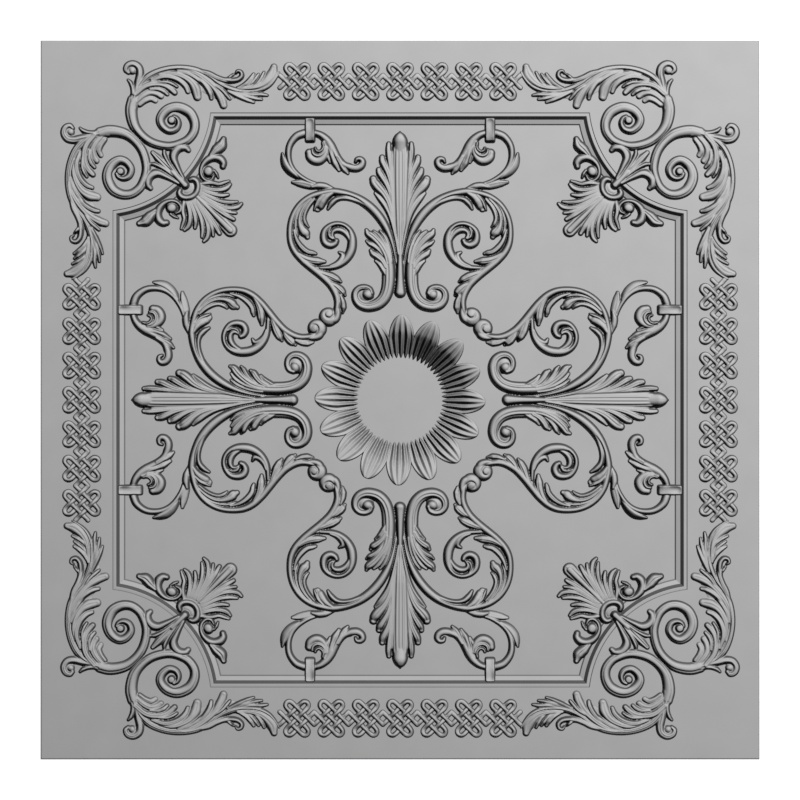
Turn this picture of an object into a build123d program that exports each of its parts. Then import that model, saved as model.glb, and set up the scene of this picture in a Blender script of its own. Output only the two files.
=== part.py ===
"""Square carved wall panel: a stepped frame round a sunk field, scrolls, leaves, knots and a rosette."""
import os

from build123d import *

# Overall sizes, millimetres
PANEL_SIDE = 600.0
FIELD_THICKNESS = 18.0
BORDER_RISE = 7.0
BACK_EDGE_BREAK = 1.0
FACE_EDGE_BREAK = 1.5

# The ornament is set out on a square drawing grid that spans the panel
GRID_STEPS = 720
GRID_CENTRE = 400
STEP = PANEL_SIDE / GRID_STEPS

# Stepped frame moulding round the sunk field, from its outer line inwards
FRAME_HALF = 287.5 * STEP
SCOOP_CENTRE = 300.0 * STEP
SCOOP_RADIUS = 111.0 * STEP
LINE_DROP = 0.75
BEAD_WIDTH = 2.6
WALL_WIDTH = 2.9
WALL_DROP = 4.4
BAND_WIDTH = 4.1
BAND_DROP = 0.6
TOE_WIDTH = 0.75
TOE_DROP = BORDER_RISE - LINE_DROP - WALL_DROP - BAND_DROP

# Rises of the carving above the ground it stands on
SCROLL_RISE = 8.5
LEAF_RISE = 8.0
CORNER_RISE = 8.0
TRUMPET_RISE = 13.5
SHELL_RISE = 7.5
STRAP_RISE = 10.0
KNOT_RISE = 2.4
FIELD_EYE_RISE = 9.5
BORDER_EYE_RISE = 8.5
EYE_SIDES = 8
SINK = 2.0
FLAT_CREST = 0.5
RIB_SWELL = (0.55, 0.95, 1, 1, 1, 0.95, 0.55)

# Sections of a rib: one at least every so many millimetres, and one for every so many degrees of bend
ROUTE_SAMPLES = 200
LONGEST_FACET = 36.0
BEND_PER_FACET = 55.0
SHORTEST_SHARE = 0.5

# Rosette: petals that climb outwards from a flat disc
PETALS = 16
PETAL_ROUTE = [(400, 358), (400, 314.5)]
PETAL_WIDTHS = (7.9, 9.6, 11.3, 12.3, 10.8, 4)
PETAL_SWELL = (0.15, 0.45, 0.68, 0.86, 1, 0.9)
ROSETTE_RISE = 14.0

# Knot borders: strands woven at 45 degrees, the same number of linked knots along each side
SIDES = 4
KNOTS_PER_SIDE = 7
STRANDS_EACH_WAY = 3
WEAVE_ANGLE = 45.0
KNOT_PITCH = 34.4 * STEP
KNOT_LINE = 318.8 * STEP
KNOT_STRAND = 4.4
STRAND_SPACING = 9.6 * STEP

# Strap that hangs the leaves from the frame
STRAP_CENTRE = (309.8, 129.5)
STRAP_SIZE = (10.5, 25.5)

FIELD = FIELD_THICKNESS
BORDER = FIELD_THICKNESS + BORDER_RISE

# Scrolls in the field: route on the drawing grid, half widths along it, in grid steps
S_SCROLL = [(395, 257), (390, 236), (380, 216), (362, 199.5), (340, 191.5), (320, 193), (303, 203.5),
            (291.5, 221), (291.5, 244), (304, 260), (324, 276.5), (337, 296), (335, 312), (329, 318)]
S_WIDTHS = (2, 3.5, 4.5, 4, 3.5, 3.5, 4, 3.5, 3)
INNER_VOLUTE = [(318, 267), (332, 267.3), (346, 259.5), (353.3, 243), (347, 228), (334, 226.5),
                (325, 236), (330, 244.5)]
INNER_WIDTHS = (3, 4, 4.5, 4, 4.5)
C_SCROLL = [(387, 252), (389, 274), (388, 290), (380, 303.5), (366, 307.5), (355.5, 299), (358, 288.5),
            (367, 288)]
C_WIDTHS = (5, 6.5, 6, 5, 3.5, 3, 2.5)
SIDE_VOLUTE = [(222, 164), (216, 157), (207, 159.5), (200.8, 168), (203, 178.5), (211.5, 178.5), (212, 170)]
SIDE_WIDTHS = (2, 2.4, 2.4, 2.2, 2)
HANGER_RING = [(304, 133), (292.5, 140), (287.5, 153), (291, 167), (302, 177), (318, 184)]
HANGER_WIDTHS = (4, 4, 3, 3, 2.5)
HANGER_LEAF = [(316, 134), (325, 140), (330, 150), (335, 160), (346, 167), (359, 166.5), (361.5, 160.5)]
HANGER_LEAF_WIDTHS = (4, 6, 9, 7, 3.5, 3, 2.5)

# Leaf lobes in the field
FIELD_LOBES = [
    ([(388.5, 143), (389, 158), (392, 176)], (2.6, 2.8, 1.6)),
    ([(382, 157), (387, 170), (393, 188)], (2.8, 3.2, 1.8)),
    ([(372, 179), (381, 190), (389, 202), (394, 220)], (2.8, 4.6, 3.6, 2)),
    ([(326, 193), (320, 201), (317.5, 209)], (4, 4.2, 2.4)),
    ([(309, 199), (302, 211), (301, 223), (307, 237)], (2.4, 3.6, 4.4, 2)),
    ([(298, 255), (308, 259.5), (324, 261.5)], (2.4, 3.6, 2)),
    ([(314, 268), (326, 274), (340, 281.3)], (2.4, 3.8, 2.2)),
    ([(328, 281), (336, 287), (344.5, 295)], (2.4, 3.8, 2.2)),
    ([(366.5, 229.5), (378, 239), (386, 252), (389, 266)], (2.4, 4, 4, 3)),
    ([(371, 250), (379, 256), (387, 266)], (2.2, 3.6, 2.4)),
    ([(289.5, 182), (300, 184), (316, 187), (332, 187)], (2, 3.2, 3.2, 2)),
]

# Trumpet flower, shell and cup set on the scooped corner
TRUMPET_LOBES = [
    ([(164, 148), (166, 158), (174, 170), (184, 182)], (2.2, 3, 3.2, 3)),
    ([(187, 149.5), (179, 148), (174, 155), (177, 166), (187, 181)], (2.2, 3.4, 4, 4, 3)),
]
SHELL_LOBES = [
    ([(203, 186), (214, 187), (229.5, 182)], (2.4, 3.6, 2.2)),
    ([(206, 195), (219, 201), (237, 202.5)], (2.4, 3.2, 2.2)),
    ([(212, 203), (226, 207.5), (241, 203.5)], (2.4, 3, 2)),
    ([(206, 200), (218, 208.5), (234, 219)], (2.6, 3.8, 2.4)),
]
CUP_RIM = [(190, 177.5), (197, 178.5), (200, 186), (196.5, 194.5), (188, 198.5)]
CUP_WIDTHS = (1.6, 2, 2)

# Scroll and leaves on the raised border at each corner
CORNER_SCROLL = [(134, 94), (131, 108), (135, 127), (150, 141.5), (170, 146), (188, 139), (195, 123),
                 (186, 108), (172, 105.5), (159.5, 114), (162, 127), (173, 131), (179, 122)]
CORNER_WIDTHS = (6, 6.5, 5, 4, 4.5, 4.5, 4, 3.5, 3, 2.5)
TIP_CURL = [(135, 90), (139.5, 73), (132, 63.7), (126, 69.5)]
TIP_WIDTHS = (4.5, 3.2, 3, 2.5)
CORNER_LOBES = [
    ([(134, 99), (146, 93), (160, 95.5)], (3, 3.6, 2)),
    ([(136, 92), (148, 85), (163, 84.3), (174.5, 93)], (4, 4, 3.6, 2)),
    ([(150, 78), (168, 74), (185, 77), (195, 87), (197, 98)], (3, 4, 4.4, 5, 3)),
    ([(182, 70), (198, 74.5), (214, 86.5), (223.5, 105)], (3.4, 4.4, 4.6, 3)),
    ([(208, 75), (222, 80.5), (234, 80), (241, 75)], (3, 3, 2.6, 2)),
    ([(226, 86), (248, 88), (265, 82), (273.5, 64)], (3, 3.6, 4.8, 2.4)),
    ([(230, 92), (252, 96), (267, 95.5)], (2.4, 3.4, 2)),
]

# Forms that lie on the arm's axis and on the corner's diagonal
LEAF_SPINE = [(400, 133), (400, 150), (400, 190), (400, 240), (400, 275), (400, 298)]
LEAF_WIDTHS = (3, 7.5, 7.2, 6, 4.5, 3.2, 4, 6)
TRUMPET_PETAL = [(151, 151), (168, 168), (190, 190)]
TRUMPET_WIDTHS = (3, 6, 5.5)
SHELL_FINGER = [(196, 196), (214, 214), (233, 233)]
SHELL_WIDTHS = (3.5, 4.8, 3.5)

# Round eyes of the scrolls: place on the grid and radius in grid steps
FIELD_EYES = [(327.4, 315.9, 8.8), (366, 296, 6.2), (317, 154, 9.5)]
BORDER_EYES = [(171, 119.5, 4.4)]


def at(x, y):
    """Place of a drawing grid point on the panel."""
    return ((x - GRID_CENTRE) * STEP, (GRID_CENTRE - y) * STEP)


def between(values, share):
    """Value part of the way along a list of evenly spaced values."""
    place = share * (len(values) - 1)
    first = min(int(place), len(values) - 2)
    return values[first] + (values[first + 1] - values[first]) * (place - first)


def stations(spine):
    """Shares of a route's length at which it gets a section, closer together where it bends."""
    shares = [0]
    travelled = 0
    for number in range(1, ROUTE_SAMPLES):
        here = number / ROUTE_SAMPLES
        bend = (spine % here).get_angle(spine % (here - 1 / ROUTE_SAMPLES))
        travelled += spine.length / ROUTE_SAMPLES / LONGEST_FACET + bend / BEND_PER_FACET
        if travelled > 1:
            shares.append(here)
            travelled = 0
    if travelled < SHORTEST_SHARE and len(shares) > 2:
        shares.pop()
    return [*shares, 1]


def rib(route, widths, ground, rise, crest=0, swell=RIB_SWELL, shares=None):
    """Rib along a route, its foot sunk into the ground, its sharp or flat crest rising with the swell."""
    spine = Spline(*[at(x, y) for x, y in route], mode=Mode.PRIVATE)
    sections = []
    for share in shares or stations(spine):
        along = spine % share
        half = between(widths, share) * STEP
        height = rise * between(swell, share)
        origin = spine @ share + Vector(0, 0, ground)
        top = [(half * crest, height), (-half * crest, height)] if crest else [(0, height)]
        with BuildSketch(Plane(origin, x_dir=Vector(0, 0, 1).cross(along), z_dir=along)) as section:
            Polygon((-half, -SINK), (half, -SINK), *top, align=None)
        sections.append(section.sketch)
    return loft(sections, ruled=True, clean=False, mode=Mode.PRIVATE)


def eye(x, y, radius, ground, rise):
    """Low boss at the eye of a scroll."""
    with BuildSketch(Plane((*at(x, y), ground - SINK))) as foot:
        RegularPolygon(radius * STEP, EYE_SIDES)
    with BuildSketch(Plane((*at(x, y), ground + rise))) as crown:
        RegularPolygon(radius * STEP * FLAT_CREST, EYE_SIDES)
    return loft([foot.sketch, crown.sketch], ruled=True, clean=False, mode=Mode.PRIVATE)


def field_outline(inset):
    """Square field outline with a scoop at each corner, set in from the frame's outer line."""
    Rectangle(2 * (FRAME_HALF - inset), 2 * (FRAME_HALF - inset))
    with GridLocations(2 * SCOOP_CENTRE, 2 * SCOOP_CENTRE, 2, 2):
        Circle(SCOOP_RADIUS + inset, mode=Mode.SUBTRACT)


# Half of one arm and of one corner
with BuildPart() as octant:
    add([
        rib(S_SCROLL, S_WIDTHS, FIELD, SCROLL_RISE, FLAT_CREST),
        rib(INNER_VOLUTE, INNER_WIDTHS, FIELD, SCROLL_RISE, FLAT_CREST),
        rib(C_SCROLL, C_WIDTHS, FIELD, SCROLL_RISE, FLAT_CREST),
        rib(SIDE_VOLUTE, SIDE_WIDTHS, FIELD, SCROLL_RISE),
        rib(HANGER_RING, HANGER_WIDTHS, FIELD, SCROLL_RISE),
        rib(HANGER_LEAF, HANGER_LEAF_WIDTHS, FIELD, LEAF_RISE),
        rib(CUP_RIM, CUP_WIDTHS, FIELD, TRUMPET_RISE),
        rib(CORNER_SCROLL, CORNER_WIDTHS, BORDER, CORNER_RISE, FLAT_CREST),
        rib(TIP_CURL, TIP_WIDTHS, BORDER, CORNER_RISE),
        *[rib(route, widths, FIELD, LEAF_RISE) for route, widths in FIELD_LOBES],
        *[rib(route, widths, FIELD, TRUMPET_RISE) for route, widths in TRUMPET_LOBES],
        *[rib(route, widths, FIELD, SHELL_RISE) for route, widths in SHELL_LOBES],
        *[rib(route, widths, BORDER, CORNER_RISE) for route, widths in CORNER_LOBES],
        *[eye(x, y, radius, FIELD, FIELD_EYE_RISE) for x, y, radius in FIELD_EYES],
        *[eye(x, y, radius, BORDER, BORDER_EYE_RISE) for x, y, radius in BORDER_EYES],
    ], clean=False)
    with Locations((*at(*STRAP_CENTRE), FIELD - SINK)):
        Box(STRAP_SIZE[0] * STEP, STRAP_SIZE[1] * STEP, STRAP_RISE + SINK,
            align=(Align.CENTER, Align.CENTER, Align.MIN))

# The other half, mirrored across the arm's axis
with BuildPart() as mirrored_octant:
    add(octant.part.mirror(Plane.YZ), clean=False)

# Forms that lie on the arm's axis and on the corner's diagonal
with BuildPart() as axial_forms:
    add([
        rib(LEAF_SPINE, LEAF_WIDTHS, FIELD, SCROLL_RISE, FLAT_CREST),
        rib(TRUMPET_PETAL, TRUMPET_WIDTHS, FIELD, TRUMPET_RISE),
        rib(SHELL_FINGER, SHELL_WIDTHS, FIELD, SHELL_RISE),
    ], clean=False)

# Rosette of petals that climb outwards from the flat disc
with BuildPart() as rosette:
    last = len(PETAL_WIDTHS) - 1
    shares = [number / last for number in range(last + 1)]
    petal = rib(PETAL_ROUTE, PETAL_WIDTHS, FIELD, ROSETTE_RISE, FLAT_CREST, PETAL_SWELL, shares)
    with PolarLocations(0, PETALS):
        add(petal, clean=False)

# One side's row of woven knots, flat on top
with BuildPart() as knot_row:
    with BuildSketch(Plane((0, KNOT_LINE, BORDER - SINK))):
        with GridLocations(KNOT_PITCH, 0, KNOTS_PER_SIDE, 1):
            with Locations(Rotation(0, 0, WEAVE_ANGLE), Rotation(0, 0, -WEAVE_ANGLE)):
                with GridLocations(0, STRAND_SPACING, 1, STRANDS_EACH_WAY):
                    Rectangle((STRANDS_EACH_WAY - 1) * STRAND_SPACING + KNOT_STRAND, KNOT_STRAND)
    extrude(amount=KNOT_RISE + SINK)

# The slab with its sunk field
with BuildPart() as carved_panel:
    Box(PANEL_SIDE, PANEL_SIDE, BORDER, align=(Align.CENTER, Align.CENTER, Align.MIN))
    chamfer(carved_panel.faces().sort_by(Axis.Z)[0].edges(), BACK_EDGE_BREAK)
    fillet(carved_panel.faces().sort_by(Axis.Z)[-1].edges(), FACE_EDGE_BREAK)
    inset = 0
    level = BORDER
    for width, drop in ((0, LINE_DROP), (BEAD_WIDTH, 0), (WALL_WIDTH, WALL_DROP), (BAND_WIDTH, BAND_DROP),
                        (TOE_WIDTH, TOE_DROP)):
        if drop:
            with BuildSketch(Plane.XY.offset(level)) as upper:
                field_outline(inset)
            with BuildSketch(Plane.XY.offset(level - drop)) as lower:
                field_outline(inset + width)
            loft([upper.sketch, lower.sketch], ruled=True, mode=Mode.SUBTRACT)
        inset += width
        level -= drop
    add(rosette.part, clean=False)
    with PolarLocations(0, SIDES):
        add([octant.part, mirrored_octant.part, axial_forms.part, knot_row.part], clean=False)

os.makedirs("parts", exist_ok=True)
carved_panel.part.label = "carved_panel"
export_step(carved_panel.part, "parts/carved_panel.step")
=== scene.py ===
from functools import partial
from math import atan, cos, pi, radians, sin

import bmesh
import bpy
import numpy as np
from mathutils import Matrix, Vector


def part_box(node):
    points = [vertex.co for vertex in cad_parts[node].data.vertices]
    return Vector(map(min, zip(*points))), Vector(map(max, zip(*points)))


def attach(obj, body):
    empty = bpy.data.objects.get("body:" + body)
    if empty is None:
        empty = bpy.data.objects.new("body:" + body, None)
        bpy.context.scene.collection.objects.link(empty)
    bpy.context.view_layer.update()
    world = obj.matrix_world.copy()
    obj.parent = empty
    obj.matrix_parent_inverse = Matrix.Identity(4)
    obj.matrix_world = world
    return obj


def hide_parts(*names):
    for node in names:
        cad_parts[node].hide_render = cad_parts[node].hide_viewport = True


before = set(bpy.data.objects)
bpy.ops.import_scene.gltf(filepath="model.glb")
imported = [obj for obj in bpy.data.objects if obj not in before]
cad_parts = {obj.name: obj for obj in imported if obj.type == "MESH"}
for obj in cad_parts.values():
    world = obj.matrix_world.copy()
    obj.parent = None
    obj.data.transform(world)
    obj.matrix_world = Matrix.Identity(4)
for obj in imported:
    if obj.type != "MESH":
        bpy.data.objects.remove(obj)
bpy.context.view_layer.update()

# Drawing grid: steps across the panel, y down; heights are in steps above the field
GRID_STEPS = 720
GRID_CENTRE = 400
LOW, HIGH = (Vector(corner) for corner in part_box("carved_panel"))
STEP = (HIGH.x - LOW.x) / GRID_STEPS
FIELD_LEVEL = 0.018
STOCK_TOP = 18.4
BELOW = -6.0
FAR = 1000.0

# Slab: its border, the frame's outer line and scoops, its section as (inset, height), its round edge
BORDER_RISE = 8.4
FRAME_HALF = 287.5
SCOOP_CENTRE = 300.0
SCOOP_RADIUS = 111.0
SCOOP_SEGMENTS = 48
FRAME_PROFILE = ((-0.4, 8.4), (0.4, 7.5), (2.8, 7.6), (3.3, 7.4), (6.6, 3.1), (10.8, 1.45), (12.1, 0))
EDGE_ROUND = 1.6
EDGE_SEGMENTS = 5
SIDES = ("top", "right", "bottom", "left")
CORNERS = ("top_left", "top_right", "bottom_right", "bottom_left")

# Ribs, lobes, straps and grooves
ROUTE_SPACING = 0.6
SPREAD_SAMPLES = 121
SPREAD_SOFTEN = 12
EDGE_SLOPE = 2.2
EDGE_MARGIN = 3.0
FULL_SWELL = 0.5
CORNER_SWELL = 0.68
LOBE_FULLNESS = 1.2
LOBE_POWER = 2.4
LOBE_VEIN = ((0, 0.07, 0.14),)
LOBE_VEINS = ((-0.25, 0.08, 0.1), (0.25, 0.08, 0.1))
LOBE_RISE_SHARES = (0.95, 1, 0.9, 0.5)
STRAP_MARGIN = 2
GROOVE_REACH = 2.5
GROOVE_FLOOR = 0.3
BLUR_REACH = 3
DEEPEN_REACH = 2.4
DEEPEN_FOOT = 4.0
CARVING_SOFTEN = 0.35

# Arms and corners: left, top, right and bottom of the part that is carved
ARM_BOX = (266, 112, GRID_CENTRE, 336)
ARM_RISE = 1.25
ARM_DEEPEN = 0.6
CORNER_BOX = (52, 52, 292, 292)
CORNER_DEEPEN = 0.9

# Knots: a row along each side, and the first half of a strand from a knot's middle
KNOTS = 7
KNOT_PITCH = 34.4
KNOT_LINE = 81.2
KNOT_REACH_ALONG = 24
KNOT_REACH_ACROSS = 22
KNOT_HEIGHT = 6.2
KNOT_RISE_SHARES = (0.62, 1, 1, 1, 1, 1, 1, 1, 1, 0.62)
KNOT_HALF = 2.5
KNOT_WEAVE = 1.7
KNOT_CROSSING = 11.0
KNOT_FADE = 5.0
KNOT_HALF_STRAND = ((-17.2, 6.2), (-14.6, 3.8), (-11, 0), (-5.5, -5.5), (0, -11), (4.7, -15.6),
                    (7.5, -17), (10.3, -15.9), (11.4, -13.1), (10.3, -10.4), (5.5, -5.5))

# Rosette: the first petal points up from the centre
PETALS = 16
PETAL_TURN = 1.2
PETAL_BOX = (GRID_CENTRE - 15, GRID_CENTRE - 88, GRID_CENTRE + 15, GRID_CENTRE - 39)
PETAL_ROOT = 41.5
PETAL_TIP = 85.6
PETAL_SHOULDER = 63.0
PETAL_OVERLAP = 0.4
PETAL_LEAST_HALF = 0.05
PETAL_CLIMB = (0, 3.2, 17.2, 18.3, 18.4, 18)
PETAL_CLIMB_PLACES = (0, 0.035, 0.6, 0.8, 0.964, 1)
PETAL_FLUTE_PITCH = 0.5
PETAL_FLUTE_DEPTHS = (5.5, 6, 5.8, 5, 3.6, 1.6, 0.2)
PETAL_SIDE_DROP = 0.25
PETAL_SIDE_POWER = 6
PETAL_SOFTEN = 0.25

# Meshes: grid steps to a cell, triangles to a piece, and the foot that is sunk into the slab
CARVING_CELL = 0.4
PETAL_CELL = 0.3
ARM_TRIANGLES = 100000
CORNER_TRIANGLES = 75000
KNOT_TRIANGLES = 38000
PETAL_TRIANGLES = 6000
FOOT_SHOW = 0.05
FOOT_SINK = 1.6
CREASE_ANGLE = radians(60)

# Primer: tones as (place in the mottle, grey); painted shade on steep walls is full and none at these upward
# parts of the normal
PRIMER_TONES = ((0.3, 0.405), (0.7, 0.425))
MOTTLE_SCALE = 34.0
MOTTLE_DETAIL = 5.0
TOOTH_SCALE = 900.0
TOOTH_DETAIL = 3.0
TOOTH_STRENGTH = 0.05
TOOTH_DEPTH = 0.0004
PRIMER_ROUGHNESS = 0.75
PRIMER_SPECULAR = 0.2
# Painted shade: the colour is darkened on steep walls, where shade would fall, to the tone given at full
CARVING_PAINTED_SHADE = {"full": 0.22, "none": 0.66, "tone": 0.18}
FRAME_PAINTED_SHADE = {"full": 0.5, "none": 0.9, "tone": 0.05}
# On the petals the painted shade is kept near the centre and fades out between these two distances towards
# their tips
PETAL_PAINTED_SHADE = {**CARVING_PAINTED_SHADE, "shade_reach": (0.05, 0.062)}
PETAL_BOWL = {"reach": (0.028, 0.072), "depth": 0.008}
LEAST_UPRIGHT = 0.05

# Floor, light and camera
FLOOR_SIDE = 6.0
FLOOR_GAP = 0.0005
FLOOR_GREY = 0.92
FLOOR_GLOW = 0.4
KEY_AZIMUTH = radians(32)
KEY_ELEVATION = radians(50)
KEY_DISTANCE = 2.8
KEY_SIZE = 0.5
KEY_POWER = 98.5
FILL_STRENGTH = 0.012
VIEW_HEIGHT = 6.0
VIEW_STEPS = 800
VIEW_LIMIT = 50
WHITE = (1, 1, 1, 1)


def smooth_route(points):
    """Points of a smooth curve through the given ones, and the shares of its length at both."""
    given = np.array(points, float)
    padded = np.vstack([2 * given[0] - given[1], given, 2 * given[-1] - given[-2]])
    chords = np.linalg.norm(np.diff(padded, axis=0), axis=1)
    knots = np.concatenate([[0], np.cumsum(np.sqrt(chords))])
    curve = []
    marks = []
    for k in range(1, len(padded) - 2):
        t0, t1, t2, t3 = knots[k - 1:k + 3]
        count = max(2, int(chords[k] / ROUTE_SPACING) + 1)
        t = np.linspace(t1, t2, count, endpoint=False)[:, None]
        marks.append(sum(map(len, curve)))
        a1 = (t1 - t) / (t1 - t0) * padded[k - 1] + (t - t0) / (t1 - t0) * padded[k]
        a2 = (t2 - t) / (t2 - t1) * padded[k] + (t - t1) / (t2 - t1) * padded[k + 1]
        a3 = (t3 - t) / (t3 - t2) * padded[k + 1] + (t - t2) / (t3 - t2) * padded[k + 2]
        b1 = (t2 - t) / (t2 - t0) * a1 + (t - t0) / (t2 - t0) * a2
        b2 = (t3 - t) / (t3 - t1) * a2 + (t - t1) / (t3 - t1) * a3
        curve.append((t2 - t) / (t2 - t1) * b1 + (t - t1) / (t2 - t1) * b2)
    curve = np.vstack(curve + [given[-1:]])
    run = np.concatenate([[0], np.cumsum(np.linalg.norm(np.diff(curve, axis=0), axis=1))])
    return curve, run / run[-1], np.append(run[marks], run[-1]) / run[-1]


def spread(values, shares, marks=()):
    """Values given at a route's points, or else evenly along it, read at the given shares of it."""
    places = marks if len(values) == len(marks) else np.linspace(0, 1, len(values))
    even = np.linspace(0, 1, SPREAD_SAMPLES)
    sampled = np.pad(np.interp(even, places, values), SPREAD_SOFTEN, mode="reflect", reflect_type="odd")
    window = np.hanning(2 * SPREAD_SOFTEN + 3)[1:-1]
    return np.interp(shares, even, np.convolve(sampled, window / window.sum(), mode="valid"))


def on_centre_line(*places):
    """Points of the drawing on the panel's upright centre line."""
    return [(GRID_CENTRE, y) for y in places]


def on_diagonal(*places):
    """Points of the drawing on the diagonal of its top left corner."""
    return [(place, place) for place in places]


class Relief:
    """Height map over a box of the drawing grid; each shape is laid over what is there."""

    def __init__(self, box, cell, swell=FULL_SWELL):
        left, top, right, bottom = box
        self.x = np.arange(left, right + cell / 2, cell)
        self.y = np.arange(top, bottom + cell / 2, cell)
        self.cell = cell
        self.swell = swell
        self.z = np.full((len(self.y), len(self.x)), BELOW)

    def window(self, low, high):
        """Slices of the rows and columns that hold a box of the grid."""
        c0, c1 = np.searchsorted(self.x, [low[0], high[0]])
        r0, r1 = np.searchsorted(self.y, [low[1], high[1]])
        return slice(r0, r1), slice(c0, c1)

    def along(self, route, reach):
        """For the cells within reach of a route: distance, side, share along it, and its points' shares."""
        curve, shares, marks = smooth_route(route)
        rows, cols = self.window(curve.min(0) - reach, curve.max(0) + reach)
        xs, ys = self.x[cols], self.y[rows]
        gx, gy = np.meshgrid(xs, ys)
        near = np.full(gx.shape, np.inf)
        side = np.zeros(gx.shape)
        share = np.zeros(gx.shape)
        for a, b, sa, sb in zip(curve[:-1], curve[1:], shares[:-1], shares[1:]):
            low, high = np.minimum(a, b) - reach, np.maximum(a, b) + reach
            c0, c1 = np.searchsorted(xs, [low[0], high[0]])
            r0, r1 = np.searchsorted(ys, [low[1], high[1]])
            part = (slice(r0, r1), slice(c0, c1))
            step = b - a
            px, py = gx[part] - a[0], gy[part] - a[1]
            t = np.clip((px * step[0] + py * step[1]) / (step @ step), 0, 1)
            dx, dy = px - t * step[0], py - t * step[1]
            d = np.hypot(dx, dy)
            closer = d < near[part]
            near[part] = np.where(closer, d, near[part])
            side[part] = np.where(closer, np.sign(step[0] * dy - step[1] * dx), side[part])
            share[part] = np.where(closer, sa + (sb - sa) * t, share[part])
        return (rows, cols), near, side, share, marks

    def blurred(self, heights, reach):
        """Heights averaged under a round window."""
        count = int(np.ceil(BLUR_REACH * reach / self.cell))
        window = np.exp(-0.5 * (np.arange(-count, count + 1) * self.cell / reach) ** 2)
        window /= window.sum()
        padded = np.pad(heights, count, mode="edge")
        padded = sum(part * padded[k:k + len(self.y)] for k, part in enumerate(window))
        return sum(part * padded[:, k:k + len(self.x)] for k, part in enumerate(window))

    def soften(self, reach):
        """Blur the heights a little, as a round-nosed cutter would leave them."""
        self.z = self.blurred(self.z, reach)

    def deepen(self, ground, share):
        """Cut hollows deeper and leave ridges higher, away from the feet and under the top of the stock."""
        change = self.z - self.blurred(np.maximum(self.z, ground), DEEPEN_REACH)
        held = np.clip((self.z - ground) / DEEPEN_FOOT, 0, 1)
        self.z = np.minimum(self.z + share * held * change, STOCK_TOP)

    def raise_to(self, place, height):
        """Lay heights over a part of the relief."""
        self.z[place] = np.maximum(self.z[place], height)

    def stroke(self, route, widths, rises, base=0.0, power=2.0, flutes=(), tilt=0.0, lift=None):
        """Rounded rib along a route; flutes are (place across, depth, width) in shares of the half width."""
        place, near, side, share, marks = self.along(route, max(widths) + EDGE_MARGIN)
        half = spread(widths, share, marks)
        rise = spread(rises, share, marks)
        near = np.minimum(near, FAR)
        across = near / half
        dome = np.clip(1 - across ** power, 0, None) ** self.swell
        signed = across * side
        for where, depth, width in flutes:
            dome = dome - depth * np.exp(-((signed - where) / width) ** 2) * (across < 1)
        dome = dome * (1 + tilt * np.clip(signed, -1, 1))
        if lift:
            rise = rise + lift(*np.meshgrid(self.x[place[1]], self.y[place[0]]))
        outside = -(near - half) * EDGE_SLOPE
        height = base + np.where(across < 1, rise * dome, np.maximum(outside, BELOW - base))
        height[near >= FAR] = BELOW
        self.raise_to(place, height)

    def leaf(self, route, widths, rises, base=0.0, flutes=LOBE_VEIN, tilt=0.0):
        """Full lobe of a leaf, rounder in plan and steeper at its sides than a rib."""
        fuller = [LOBE_FULLNESS * width for width in widths]
        self.stroke(route, fuller, rises, base, LOBE_POWER, flutes, tilt)

    def dome(self, x, y, radius, rise, base=0.0, power=2.0):
        """Round boss."""
        reach = radius + EDGE_MARGIN
        rows, cols = self.window((x - reach, y - reach), (x + reach, y + reach))
        gx, gy = np.meshgrid(self.x[cols], self.y[rows])
        near = np.hypot(gx - x, gy - y)
        top = rise * np.clip(1 - (near / radius) ** power, 0, None) ** 0.5
        outside = np.maximum(-(near - radius) * EDGE_SLOPE, BELOW - base)
        self.raise_to((rows, cols), base + np.where(near < radius, top, outside))

    def strap(self, box, corner, edge, rises):
        """Flat strap with rounded corners, its heights given from top to bottom."""
        left, top, right, bottom = box
        low = (left - STRAP_MARGIN, top - STRAP_MARGIN)
        rows, cols = self.window(low, (right + STRAP_MARGIN, bottom + STRAP_MARGIN))
        gx, gy = np.meshgrid(self.x[cols], self.y[rows])
        dx = np.maximum(np.maximum(left + corner - gx, gx - right + corner), 0)
        dy = np.maximum(np.maximum(top + corner - gy, gy - bottom + corner), 0)
        inside = np.minimum(np.minimum(gx - left, right - gx), np.minimum(gy - top, bottom - gy))
        within = np.where((dx == 0) & (dy == 0), inside, corner - np.hypot(dx, dy))
        rise = np.interp(gy, np.linspace(top, bottom, len(rises)), rises)
        shoulder = np.clip(1 - np.clip(1 - within / edge, 0, 1) ** 2, 0, None) ** 0.5
        outside = np.maximum(within * EDGE_SLOPE, BELOW)
        self.raise_to((rows, cols), np.where(within > 0, rise * shoulder, outside))

    def groove(self, route, widths, depths):
        """Soft vee cut along a route, only where there is carving to cut."""
        place, near, _, share, marks = self.along(route, max(widths) * GROOVE_REACH)
        cut = spread(depths, share, marks) * np.exp(-(near / spread(widths, share, marks)) ** 2)
        cut[~np.isfinite(near)] = 0
        z = self.z[place]
        cuttable = np.maximum(z - GROOVE_FLOOR, 0)
        self.z[place] = np.where(z > GROOVE_FLOOR, z - np.minimum(cut, cuttable), z)


def carve_arm():
    """Left half of the arm that points up."""
    relief = Relief(ARM_BOX, CARVING_CELL)
    carve_hanger(relief)
    carve_hanging_leaf(relief)
    carve_upright_leaf(relief)
    carve_long_scroll(relief)
    carve_upper_scroll_leaves(relief)
    carve_lower_scroll_leaves(relief)
    carve_inner_volute(relief)
    carve_foot_scroll(relief)
    carve_foot_leaf(relief)
    relief.z = np.where(relief.z > 0, relief.z * ARM_RISE, relief.z)
    relief.deepen(np.zeros_like(relief.z), ARM_DEEPEN)
    relief.soften(CARVING_SOFTEN)
    return relief


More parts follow.
